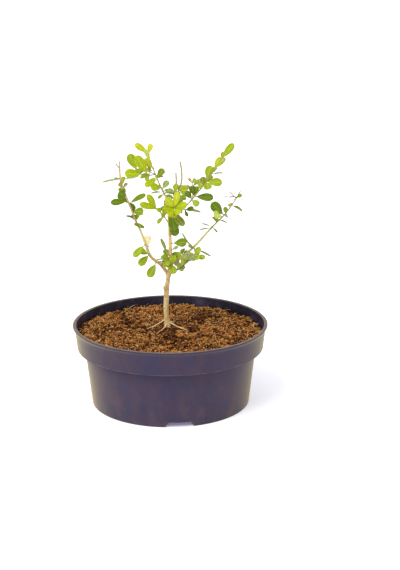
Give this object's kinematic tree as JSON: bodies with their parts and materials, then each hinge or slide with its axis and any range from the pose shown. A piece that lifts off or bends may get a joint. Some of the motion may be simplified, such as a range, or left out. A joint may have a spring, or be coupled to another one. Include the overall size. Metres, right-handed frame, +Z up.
{
  "type": "boxwood bonsai in a nursery pot",
  "caption": "Young boxwood bonsai with an open, forked crown of small oval leaves, growing in a round plastic bowl of peat.",
  "frame": {"origin": "middle of the pot's foot, on the surface that it stands on", "axes": "+Z up along the pot's axis, -Y toward the front, +X to the right seen from the front"},
  "size_m": [0.2, 0.2, 0.2754],
  "materials": {
    "pot_plastic": "satin",
    "peat": "matte",
    "bark": "matte",
    "leaf_lime": "satin",
    "leaf_green": "satin",
    "leaf_dry": "matte"
  },
  "bodies": {
    "root": {"pot": "pot_plastic", "soil": "peat", "trunk": "bark", "leader": "bark", "left_bough": "bark", "right_bough": "bark", "upper_right_bough": "bark", "upper_left_bough": "bark", "left_shoot": "leaf_green", "left_low_sprig": "leaf_green", "left_knee_sprig": "leaf_green", "left_mid_sprig": "leaf_green", "left_dry_sprig": "leaf_dry", "upper_left_shoot": "leaf_lime", "left_centre_shoot": "leaf_lime", "crown_shoot": "leaf_lime", "leader_top_sprig": "leaf_green", "upper_right_sprig": "leaf_lime", "upper_right_shoot": "leaf_lime", "right_node_sprig": "leaf_green", "right_back_sprig": "leaf_green", "right_shoot": "leaf_green", "lower_right_shoot": "leaf_green", "leader_sprig": "leaf_green", "leader_low_sprig": "leaf_green", "fork_left_sprig": "leaf_green", "fork_right_sprig": "leaf_green", "fork_low_sprig": "leaf_green", "back_shoot": "leaf_green", "low_back_shoot": "leaf_green"}
  },
  "joints": []
}
